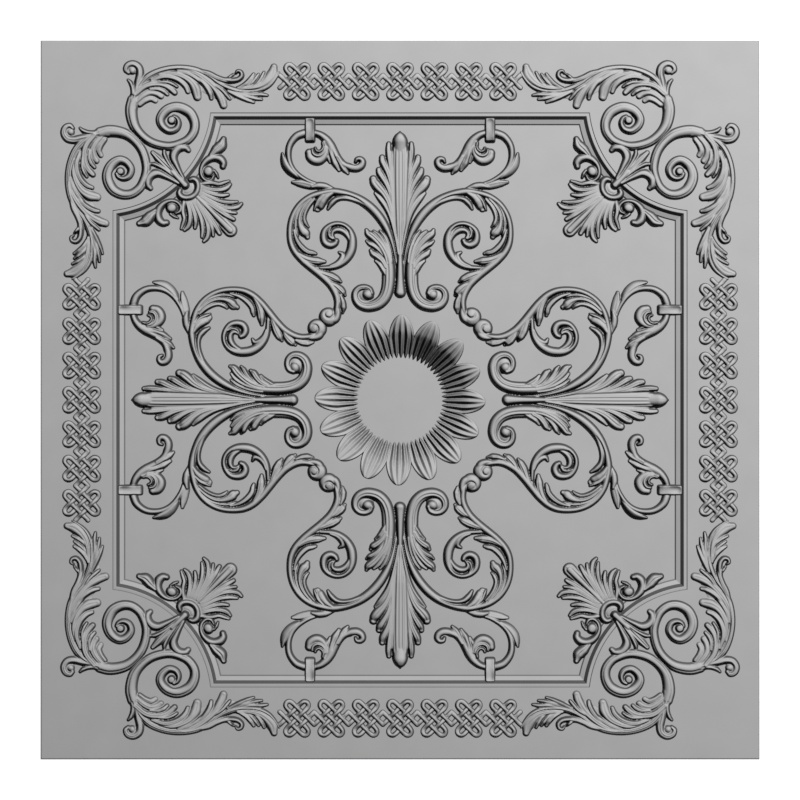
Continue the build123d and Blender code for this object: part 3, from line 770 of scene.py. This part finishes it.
def mesh_object(name, points, faces):
    """Mesh object from arrays of points and of faces with a fixed number of corners."""
    mesh = bpy.data.meshes.new(name)
    mesh.vertices.add(len(points))
    mesh.vertices.foreach_set("co", np.asarray(points, np.float32).ravel())
    mesh.loops.add(faces.size)
    mesh.loops.foreach_set("vertex_index", faces.astype(np.int32).ravel())
    mesh.polygons.add(len(faces))
    starts = np.arange(0, faces.size, faces.shape[1], dtype=np.int32)
    mesh.polygons.foreach_set("loop_start", starts)
    mesh.update(calc_edges=True)
    mesh.validate()
    return place_object(name, mesh)


def relief_object(name, px, py, height, ground):
    """Surface of a relief where it stands above the ground, with its foot sunk into the ground."""
    above = height > ground - FOOT_SHOW
    cells = above[:-1, :-1] | above[1:, :-1] | above[:-1, 1:] | above[1:, 1:]
    height = np.maximum(height, ground - FOOT_SINK)
    rows, cols = np.nonzero(cells)
    width = len(px)
    first = rows * width + cols
    quads = np.stack([first, first + width, first + width + 1, first + 1], axis=1)
    used, index = np.unique(quads, return_inverse=True)
    gx, gy = np.meshgrid(px, py)
    points = on_panel(gx.ravel()[used], gy.ravel()[used], height.ravel()[used])
    return mesh_object(name, points, index.reshape(quads.shape))


def thin_out(thing, triangles):
    """Collapse a mesh to about a number of triangles, keeping its shape."""
    mesh = thing.data
    mesh.calc_loop_triangles()
    decimate = thing.modifiers.new("thin_out", "DECIMATE")
    decimate.ratio = min(1.0, triangles / len(mesh.loop_triangles))
    evaluated = thing.evaluated_get(bpy.context.evaluated_depsgraph_get())
    thinned = bpy.data.meshes.new_from_object(evaluated)
    thing.modifiers.clear()
    thing.data = thinned
    bpy.data.meshes.remove(mesh)
    smooth_over(thinned)
    return thing


def turned_copies(thing, names):
    """Copies of a piece turned evenly about the panel's centre, each with its place in its mesh."""
    copies = []
    for number, name in enumerate(names):
        mesh = thing.data.copy()
        mesh.transform(Matrix.Rotation(-2 * pi * number / len(names), 4, "Z"))
        mesh.name = name
        copies.append(place_object(name, mesh))
    bpy.data.objects.remove(thing)
    return copies


def make_arms():
    """Four arms, each a carved half and its mirror image."""
    relief = carve_arm()
    full = np.concatenate([relief.z, relief.z[:, -2::-1]], axis=1)
    across = np.concatenate([relief.x, 2 * GRID_CENTRE - relief.x[-2::-1]])
    arm = relief_object("arm", across, relief.y, full, np.zeros_like(full))
    return turned_copies(thin_out(arm, ARM_TRIANGLES), [f"arm_{side}" for side in SIDES])


def make_corners():
    """Four corners, on the border and the frame and in the field."""
    relief = carve_corner()
    corner = relief_object("corner", relief.x, relief.y, relief.z, ground_height(relief))
    return turned_copies(thin_out(corner, CORNER_TRIANGLES), [f"corner_{place}" for place in CORNERS])


def make_knots():
    """Four rows of knots, on the border."""
    relief = carve_knots()
    row = relief_object("knots", relief.x, relief.y, relief.z, ground_height(relief))
    return turned_copies(thin_out(row, KNOT_TRIANGLES), [f"knots_{side}" for side in SIDES])


def make_rosette():
    """Ring of petals in one mesh, turned a little as in the photograph."""
    relief = carve_petal()
    petal = relief_object("petal", relief.x, relief.y, relief.z, np.zeros_like(relief.z))
    names = [f"petal_{number}" for number in range(PETALS)]
    build = bmesh.new()
    for piece in turned_copies(thin_out(petal, PETAL_TRIANGLES), names):
        build.from_mesh(piece.data)
        bpy.data.objects.remove(piece)
    mesh = bpy.data.meshes.new("rosette")
    build.to_mesh(mesh)
    build.free()
    mesh.transform(Matrix.Rotation(-radians(PETAL_TURN), 4, "Z"))
    smooth_over(mesh)
    return place_object("rosette", mesh)


def frame_loop(inset):
    """Closed outline at an inset from the frame's outer line, on the grid, from the centre."""
    side = FRAME_HALF - inset
    reach = SCOOP_RADIUS + inset
    start = np.arcsin((SCOOP_CENTRE - side) / reach)
    turns = np.linspace(start - pi / 2, -start, SCOOP_SEGMENTS + 1)
    across = reach * np.cos(turns) - SCOOP_CENTRE
    up = reach * np.sin(turns) + SCOOP_CENTRE
    scoop = np.stack([across, up], axis=1)
    quarter_turn = np.array([(0, -1), (1, 0)])
    return np.vstack([scoop @ np.linalg.matrix_power(quarter_turn, k) for k in range(len(SIDES))])


def square_loop(half):
    """Corners of a square on the grid, in the order of the frame's outline."""
    return np.array([(-half, half), (-half, -half), (half, -half), (half, half)], float)


def ring(build, outline, level):
    """Vertices along an outline, at a level."""
    points = np.column_stack([outline * STEP, np.full(len(outline), level)])
    return [build.verts.new(point) for point in points]


def skin(build, rings):
    """Faces between each ring and the next, and one across the last."""
    for outer, inner in zip(rings, rings[1:]):
        for k in range(len(outer)):
            build.faces.new((outer[k - 1], outer[k], inner[k], inner[k - 1]))
    build.faces.new(rings[-1])


def edge_steps():
    """The slab's outside as (half side, level): the round edge, the side and the back."""
    half = GRID_STEPS / 2
    face = FIELD_LEVEL + BORDER_RISE * STEP
    steps = []
    for turn in np.linspace(0, pi / 2, EDGE_SEGMENTS):
        drop = EDGE_ROUND * (1 - cos(turn))
        steps.append((half - EDGE_ROUND * (1 - sin(turn)), face - drop * STEP))
    return [*steps, (half, LOW.z + EDGE_ROUND * STEP), (half - EDGE_ROUND, LOW.z)]


def make_slab():
    """Slab with its stepped frame and sunk field, under the carving."""
    build = bmesh.new()
    inside = [ring(build, frame_loop(inset), FIELD_LEVEL + rise * STEP) for inset, rise in FRAME_PROFILE]
    outside = [ring(build, square_loop(half), level) for half, level in edge_steps()]
    skin(build, inside)
    skin(build, outside)
    border = []
    for loop in (inside[0], outside[0]):
        border += [build.edges.get((loop[k - 1], loop[k])) for k in range(len(loop))]
    bmesh.ops.triangle_fill(build, use_beauty=True, edges=border)
    bmesh.ops.recalc_face_normals(build, faces=build.faces)
    mesh = bpy.data.meshes.new("slab")
    build.to_mesh(mesh)
    build.free()
    return place_object("slab", mesh)


def noise(tree, scale, detail):
    """Even noise over a piece."""
    place = tree.nodes.new("ShaderNodeTexCoord")
    texture = tree.nodes.new("ShaderNodeTexNoise")
    texture.inputs["Scale"].default_value = scale
    texture.inputs["Detail"].default_value = detail
    tree.links.new(place.outputs["Object"], texture.inputs["Vector"])
    return texture.outputs["Fac"]


def smooth_share(tree, value, start, stop, first, last):
    """Share that runs from the first value to the last as a value goes from start to stop."""
    share = tree.nodes.new("ShaderNodeMapRange")
    share.interpolation_type = "SMOOTHSTEP"
    share.inputs["From Min"].default_value = start
    share.inputs["From Max"].default_value = stop
    share.inputs["To Min"].default_value = first
    share.inputs["To Max"].default_value = last
    tree.links.new(value, share.inputs["Value"])
    return share.outputs["Result"]


def distance_from_centre(tree):
    """Distance from the panel's centre, seen from above."""
    place = tree.nodes.new("ShaderNodeTexCoord")
    flat = tree.nodes.new("ShaderNodeVectorMath")
    flat.operation = "MULTIPLY"
    flat.inputs[1].default_value = (1, 1, 0)
    away = tree.nodes.new("ShaderNodeVectorMath")
    away.operation = "LENGTH"
    tree.links.new(place.outputs["Object"], flat.inputs[0])
    tree.links.new(flat.outputs["Vector"], away.inputs[0])
    return away.outputs["Value"]


def mottled_grey(tree):
    """Grey of the primer, with a faint mottle."""
    tone = tree.nodes.new("ShaderNodeValToRGB")
    for element, (position, grey) in zip(tone.color_ramp.elements, PRIMER_TONES):
        element.position = position
        element.color = (grey, grey, grey, 1)
    tree.links.new(noise(tree, MOTTLE_SCALE, MOTTLE_DETAIL), tone.inputs["Fac"])
    return tone.outputs["Color"]


def paint_steep_shade(tree, colour, painted_shade):
    """Colour with painted shade: darkened on steep walls and left as it is on the flats."""
    place = tree.nodes.new("ShaderNodeTexCoord")
    normal = tree.nodes.new("ShaderNodeSeparateXYZ")
    shade_mix = tree.nodes.new("ShaderNodeMix")
    shade_mix.data_type = "RGBA"
    shade_mix.blend_type = "MULTIPLY"
    shade_mix.inputs["Factor"].default_value = 1.0
    tree.links.new(place.outputs["Normal"], normal.inputs["Vector"])
    shade = smooth_share(tree, normal.outputs["Z"], painted_shade["full"], painted_shade["none"], painted_shade["tone"], 1.0)
    tree.links.new(colour, shade_mix.inputs["A"])
    tree.links.new(shade, shade_mix.inputs["B"])
    # painted shade kept near the panel's centre and faded out towards the petal tips
    if "shade_reach" in painted_shade:
        kept = smooth_share(tree, distance_from_centre(tree), *painted_shade["shade_reach"], 1.0, 0.0)
        tree.links.new(kept, shade_mix.inputs["Factor"])
    return shade_mix.outputs["Result"]


def primer_material(name, painted_shade=None, bowl=None):
    """Sprayed primer, even and matte, with painted shade on steep walls when given; a bowl steepens the
    shading round the panel's centre.
    """
    material = bpy.data.materials.new(name)
    material.use_nodes = True
    tree = material.node_tree
    shader = tree.nodes["Principled BSDF"]
    shader.inputs["Roughness"].default_value = PRIMER_ROUGHNESS
    shader.inputs["Specular IOR Level"].default_value = PRIMER_SPECULAR
    colour = mottled_grey(tree)
    if painted_shade:
        colour = paint_steep_shade(tree, colour, painted_shade)
    tree.links.new(colour, shader.inputs["Base Color"])
    tooth = tree.nodes.new("ShaderNodeBump")
    tooth.inputs["Strength"].default_value = TOOTH_STRENGTH
    tooth.inputs["Distance"].default_value = TOOTH_DEPTH
    tree.links.new(noise(tree, TOOTH_SCALE, TOOTH_DETAIL), tooth.inputs["Height"])
    tree.links.new(tooth.outputs["Normal"], shader.inputs["Normal"])
    if bowl:
        climb = tree.nodes.new("ShaderNodeBump")
        climb.inputs["Distance"].default_value = bowl["depth"]
        height = smooth_share(tree, distance_from_centre(tree), *bowl["reach"], 0.0, 1.0)
        tree.links.new(height, climb.inputs["Height"])
        tree.links.new(climb.outputs["Normal"], tooth.inputs["Normal"])
    return material


def floor_material():
    """Pale matte floor, a little self-lit so that it stays white beside the panel."""
    material = bpy.data.materials.new("floor_white")
    material.use_nodes = True
    inputs = material.node_tree.nodes["Principled BSDF"].inputs
    inputs["Base Color"].default_value = (FLOOR_GREY, FLOOR_GREY, FLOOR_GREY, 1)
    inputs["Roughness"].default_value = 1.0
    inputs["Emission Color"].default_value = WHITE
    inputs["Emission Strength"].default_value = FLOOR_GLOW
    return material


def make_floor():
    """Square floor under the panel."""
    edge = FLOOR_SIDE / 2
    corners = [(-edge, -edge, 0), (edge, -edge, 0), (edge, edge, 0), (-edge, edge, 0)]
    mesh = bpy.data.meshes.new("floor")
    mesh.from_pydata(corners, [], [(0, 1, 2, 3)])
    mesh.materials.append(floor_material())
    floor = place_object("floor", mesh)
    floor.location.z = LOW.z - FLOOR_GAP
    return floor


def light_scene():
    """Soft key from the upper right without shadows, an even fill, and no bounced light."""
    light = bpy.data.lights.new("key", "AREA")
    light.shape = "DISK"
    light.size = KEY_SIZE
    light.energy = KEY_POWER
    light.use_shadow = False
    key = place_object("key", light)
    level = cos(KEY_ELEVATION)
    towards = Vector((level * sin(KEY_AZIMUTH), level * cos(KEY_AZIMUTH), sin(KEY_ELEVATION)))
    key.location = KEY_DISTANCE * towards
    key.rotation_euler = key.location.to_track_quat("Z", "Y").to_euler()
    world = bpy.data.worlds.new("studio")
    world.use_nodes = True
    background = world.node_tree.nodes["Background"]
    background.inputs["Color"].default_value = WHITE
    background.inputs["Strength"].default_value = FILL_STRENGTH
    scene = bpy.context.scene
    scene.world = world
    scene.view_settings.view_transform = "Standard"
    scene.cycles.diffuse_bounces = 0


def make_camera():
    """Camera straight above the panel, far off, with the photograph's margin round it."""
    view_side = (HIGH.x - LOW.x) * VIEW_STEPS / GRID_STEPS
    data = bpy.data.cameras.new("camera")
    data.angle = 2 * atan(view_side / 2 / (VIEW_HEIGHT - HIGH.z))
    data.clip_end = VIEW_LIMIT
    camera = place_object("camera", data)
    camera.location = (0, 0, VIEW_HEIGHT)
    return camera


# The carvings and the slab's top get painted shade on their steep walls; the slab's sides and back do not
carved_primer = primer_material("carved_primer", CARVING_PAINTED_SHADE)
slab = make_slab()
slab.data.materials.append(primer_material("frame_primer", FRAME_PAINTED_SHADE))
slab.data.materials.append(primer_material("grey_primer"))
for face in slab.data.polygons:
    face.material_index = int(face.normal.z < LEAST_UPRIGHT)
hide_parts("carved_panel")

rosette = make_rosette()
carvings = [*make_arms(), *make_corners(), *make_knots()]
for piece in [rosette, *carvings]:
    piece.data.materials.clear()
    piece.data.materials.append(carved_primer)
rosette.data.materials[0] = primer_material("petal_primer", PETAL_PAINTED_SHADE, PETAL_BOWL)
for piece in [slab, rosette, *carvings]:
    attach(piece, "root")

floor = make_floor()
light_scene()
bpy.context.scene.camera = make_camera()
